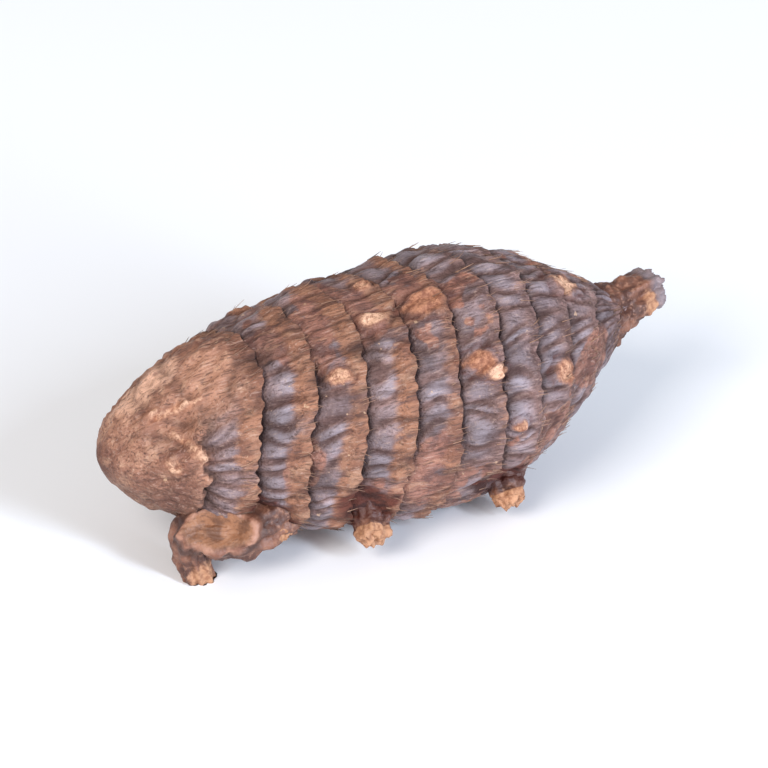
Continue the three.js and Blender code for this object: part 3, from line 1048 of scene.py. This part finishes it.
def lip_colour(t, noises):
    colour = t.mix(t.step(noises.streak, 0.36, 0.6), LIP_DARK, LIP_BROWN)
    colour = t.mix(t.step(noises.mottle, 0.5, 0.66, 0, 0.6), colour, LIP_PALE)
    return t.mix(t.step(noises.blotch, 0.34, 0.5, 0.6, 0), colour, LIP_STAIN)


RED_DARK = (0.14, 0.05, 0.034)
RED_BROWN = (0.37, 0.152, 0.098)
RED_PALE = (0.5, 0.25, 0.15)


def red_colour(t, noises):
    colour = t.mix(t.step(noises.mottle, 0.38, 0.6), RED_DARK, RED_BROWN)
    return t.mix(t.step(noises.streak, 0.54, 0.66, 0, 0.6), colour, RED_PALE)


CAP_DARK = (0.2, 0.08, 0.05)
CAP_TAN = (0.42, 0.2, 0.125)
CAP_PALE = (0.57, 0.32, 0.21)
CAP_PALE_AND_HIGHLIGHT = (0.74, 0.42, 0.29)
CAP_STREAK = (0.13, 0.05, 0.034)
CAP_UNDERSIDE_SHADE = (0.08, 0.031, 0.021)


def cap_colour(t, noises):
    """The tan base cap: pale in places, partly rubbed and partly a painted highlight, streaked, and painted
    darker underneath as shade.
    """
    colour = t.mix(t.step(noises.blotch, 0.38, 0.6), CAP_DARK, CAP_TAN)
    colour = t.mix(t.step(noises.mottle, 0.5, 0.66, 0, 0.65), colour, CAP_PALE)
    # Pale on the cap: a painted highlight along its top and rubbed skin on its far side
    colour = t.mix(t.ragged(t.mask("pale_wear_and_highlight"), noises.mottle, 0.15, 0.8, 0.7), colour, CAP_PALE_AND_HIGHLIGHT)
    colour = t.mix(t.step(noises.streak, 0.3, 0.46, 0.7, 0), colour, CAP_STREAK)
    # Painted shade: the cap darker towards its underside
    return t.mix(t.faded(t.mask("soiled"), 0.55), colour, CAP_UNDERSIDE_SHADE)


SCAR_DARK = (0.22, 0.078, 0.042)
SCAR_TAN = (0.44, 0.19, 0.105)
SCAR_PALE = (0.72, 0.42, 0.275)
SCAR_PIT = (0.22, 0.08, 0.04)


def scar_colour(t, noises):
    colour = t.mix(t.step(noises.speck, 0.34, 0.62), SCAR_DARK, SCAR_TAN)
    # The pale mask also carries the partly painted highlight along the torn ridges
    colour = t.mix(t.ragged(t.mask("pale"), noises.speck, 0.1, 0.8, 1.1), colour, SCAR_PALE)
    return t.mix(t.step(t.noise(0.11, 4), 0.36, 0.52, 0.65, 0), colour, SCAR_PIT)


HAIRLINE_DARK = (0.06, 0.027, 0.021)
HAIRLINE_PALE = (0.6, 0.41, 0.33)
VALLEY_SHADE = (0.052, 0.022, 0.018)
CREVICE_SHADE = (0.022, 0.009, 0.008)
SOCKET_SHADE = (0.034, 0.006, 0.004)
SOCKET_SHADE_RED = (0.105, 0.024, 0.014)
FLECK = (0.6, 0.38, 0.24)


def skin_material():
    t = Tree("tuber_skin")
    noises = SimpleNamespace(
        blotch=t.noise(2.4, 5),
        mottle=t.noise(0.75, 6),
        speck=t.noise(0.24, 5),
        streak=t.noise(0.32, 5, (5, 1, 1)),
        fibre=t.noise(0.1, 3, (9, 1, 1)),
    )
    cap, crest, valley, dark = (t.mask(name) for name in ("cap", "crest", "valley", "dark"))
    frayed = t.blend(0.45, noises.streak, noises.fibre)
    lip = t.ragged(t.mask("lip"), frayed, 0.38, 0.84, 1.3)
    patch = t.ragged(t.mask("patch"), noises.mottle, 0.35, 0.7, 1.2)
    scar = t.ragged(t.mask("scar"), noises.speck, 0.12, 0.85, 0.5)
    # The hollows join the crevices as painted shade
    crevice = t.math("MAXIMUM", t.mask("crevice"), t.faded(t.mask("hollow"), 0.8))
    shaded = t.math("MULTIPLY", valley, t.step(noises.speck, 0.3, 0.6, 0.35, 0.65))
    socket = t.mix(t.step(noises.streak, 0.4, 0.6), SOCKET_SHADE, SOCKET_SHADE_RED)

    colour = t.mix(t.faded(patch, 0.85), band_colour(t, noises, crest), red_colour(t, noises))
    colour = t.mix(lip, colour, lip_colour(t, noises))
    colour = t.mix(cap, colour, cap_colour(t, noises))
    colour = t.mix(t.step(noises.fibre, 0.34, 0.47, 0.6, 0), colour, HAIRLINE_DARK)
    colour = t.mix(t.step(noises.fibre, 0.56, 0.68, 0, 0.3), colour, HAIRLINE_PALE)
    # Painted shade in the rib valleys and wrinkle grooves, broken up by specks
    colour = t.mix(shaded, colour, VALLEY_SHADE)
    # Painted shade in the crevices under the lips, in the cut of the early ring and in the hollows
    colour = t.mix(t.faded(crevice, 0.95), colour, CREVICE_SHADE)
    # The dark mask: painted shade in the dents and round the feet of root stubs, and the dark round scars
    colour = t.mix(t.faded(dark, 0.93), colour, socket)
    colour = t.mix(scar, colour, scar_colour(t, noises))
    colour = t.mix(t.step(t.noise(0.45, 3), 0.7, 0.74, 0, 0.6), colour, FLECK)

    sunken = t.math("MAXIMUM", t.math("MAXIMUM", crevice, valley), dark)
    rough = t.step(noises.speck, 0.35, 0.7, 0.36, 0.5)
    for mask, value in ((crest, 0.25), (lip, 0.62), (cap, 0.52), (sunken, 0.85), (scar, 0.7)):
        rough = t.blend(mask, rough, value)
    lines = t.math("ADD", noises.fibre, noises.streak, clamp=False)
    t.bump(t.math("ADD", t.noise(0.12, 4), lines, clamp=False), 0.09, 0.8)
    t.put(t.shader.inputs["Specular IOR Level"], 0.42)
    return t.finish(colour, rough)


BARK_DARK = (0.078, 0.028, 0.019)
BARK_BROWN = (0.25, 0.102, 0.06)
BARK_PALE = (0.36, 0.19, 0.125)
BARK_FOOT_SHADE = (0.062, 0.012, 0.008)
BARK_GREY = (0.26, 0.21, 0.225)
FLAP_DARK = (0.13, 0.05, 0.024)
FLAP_TAN = (0.31, 0.135, 0.066)
FLAP_STREAK = (0.12, 0.046, 0.024)
FLAP_RIM_DARK = (0.2, 0.078, 0.048)
FLAP_RIM_PALE = (0.41, 0.2, 0.132)
FLAP_OUTLINE = (0.05, 0.02, 0.015)


def bark_colour(t, blotch, speck):
    """Brown bark: painted shade near the foot of a stub, with the cupped face of the thick root and its rim.
    """
    colour = t.mix(t.step(blotch, 0.36, 0.64), BARK_DARK, BARK_BROWN)
    colour = t.mix(t.step(speck, 0.52, 0.68, 0, 0.5), colour, BARK_PALE)
    colour = t.mix(t.faded(t.mask("shade"), 0.82), colour, BARK_FOOT_SHADE)
    colour = t.mix(t.faded(t.mask("grey"), 0.7), colour, BARK_GREY)
    streak = t.noise(0.12, 3, (5, 1, 1))
    face = t.mix(t.step(blotch, 0.36, 0.64), FLAP_DARK, FLAP_TAN)
    face = t.mix(t.step(streak, 0.34, 0.5, 0.6, 0), face, FLAP_STREAK)
    rim = t.mix(t.step(blotch, 0.36, 0.6), FLAP_RIM_DARK, FLAP_RIM_PALE)
    colour = t.mix(t.mask("flap"), colour, face)
    colour = t.mix(t.ragged(t.mask("rim"), speck, 0.2, 0.9, 0.7), colour, rim)
    return t.mix(t.faded(t.mask("outline"), 0.85), colour, FLAP_OUTLINE)


WOOD_DARK = (0.33, 0.13, 0.06)
WOOD_PALE = (0.57, 0.28, 0.15)
WOOD_GREY = (0.28, 0.155, 0.095)
WOOD_CORE = (0.58, 0.31, 0.175)
WOOD_STAIN = (0.18, 0.075, 0.042)


def wood_colour(t, blotch, speck):
    """The pale inside of a root, where it broke or lost its bark."""
    colour = t.mix(t.step(speck, 0.36, 0.62), WOOD_DARK, WOOD_PALE)
    colour = t.mix(t.faded(t.mask("tone"), 0.6), colour, WOOD_GREY)
    colour = t.mix(t.faded(t.mask("core"), 0.5), colour, WOOD_CORE)
    return t.mix(t.step(blotch, 0.28, 0.42, 0.75, 0), colour, WOOD_STAIN)


def root_material():
    t = Tree("root_stub")
    blotch = t.noise(0.8, 5)
    speck = t.noise(0.2, 5)
    end = t.ragged(t.mask("end"), speck, 0.25, 0.75, 0.6)
    t.bump(t.noise(0.14, 4), 0.06, 0.9)
    colour = t.mix(end, bark_colour(t, blotch, speck), wood_colour(t, blotch, speck))
    return t.finish(colour, t.blend(end, 0.45, 0.75))


FIBRE_DARK = (0.1, 0.048, 0.032)
FIBRE_PALE = (0.4, 0.22, 0.14)


def fibre_material():
    t = Tree("sheath_fibre")
    return t.finish(t.mix(t.mask("tone"), FIBRE_DARK, FIBRE_PALE), 0.6)


# The floor, the light and the camera, in metres

FLOOR_HALF = 2
FLOOR_COLOUR = (0.9, 0.9, 0.92)
SKY = {"Color": (0.94, 0.96, 1, 1), "Strength": 0.48}
KEY = {"place": (-0.24, -0.16, 0.25), "size": (0.16, 0.16), "power": 1.02, "colour": (1, 0.96, 0.91)}
WINDOW = {"place": (0.13, -0.3, 0.15), "size": (0.045, 0.24), "power": 1.55, "colour": (0.74, 0.85, 1)}


def make_floor():
    mesh = bpy.data.meshes.new("floor")
    signs = [(-1, -1), (1, -1), (1, 1), (-1, 1)]
    square = [(FLOOR_HALF * x, FLOOR_HALF * y, 0) for x, y in signs]
    mesh.from_pydata(square, [], [(0, 1, 2, 3)])
    mesh.materials.append(Tree("floor").finish(FLOOR_COLOUR, 0.6))
    floor = bpy.data.objects.new("floor", mesh)
    bpy.context.scene.collection.objects.link(floor)


def softbox(name, target, place, size, power, colour):
    light = bpy.data.lights.new(name, "AREA")
    light.shape = "RECTANGLE"
    light.size, light.size_y = size
    light.energy = power
    light.color = colour
    lamp = bpy.data.objects.new(name, light)
    lamp.location = place
    lamp.rotation_euler = (Vector(target) - Vector(place)).to_track_quat("-Z", "Y").to_euler()
    bpy.context.scene.collection.objects.link(lamp)


def make_light(target):
    world = bpy.data.worlds.new("studio")
    world.use_nodes = True
    for socket, value in SKY.items():
        world.node_tree.nodes["Background"].inputs[socket].default_value = value
    bpy.context.scene.world = world
    softbox("key", target, **KEY)
    softbox("window", target, **WINDOW)


def make_camera(target):
    azimuth, elevation = np.radians([VIEW_AZIMUTH, VIEW_ELEVATION])
    level = np.cos(elevation)
    back = Vector((np.sin(azimuth) * level, -np.cos(azimuth) * level, np.sin(elevation)))
    data = bpy.data.cameras.new("camera")
    data.lens = LENS
    data.sensor_width = SENSOR
    camera = bpy.data.objects.new("camera", data)
    camera.location = target + back * (FRAME_WIDTH * LENS / SENSOR)
    camera.rotation_euler = (-back).to_track_quat("-Z", "Y").to_euler()
    bpy.context.scene.collection.objects.link(camera)
    bpy.context.scene.camera = camera


low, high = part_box("tuber")
middle = (low + high) / 2
make_camera(middle)
make_light(middle)
make_floor()
skin = skin_piece(skin_material())
roots_piece(root_material())
fibres_piece(skin, fibre_material())
bpy.context.scene.view_settings.view_transform = "Standard"
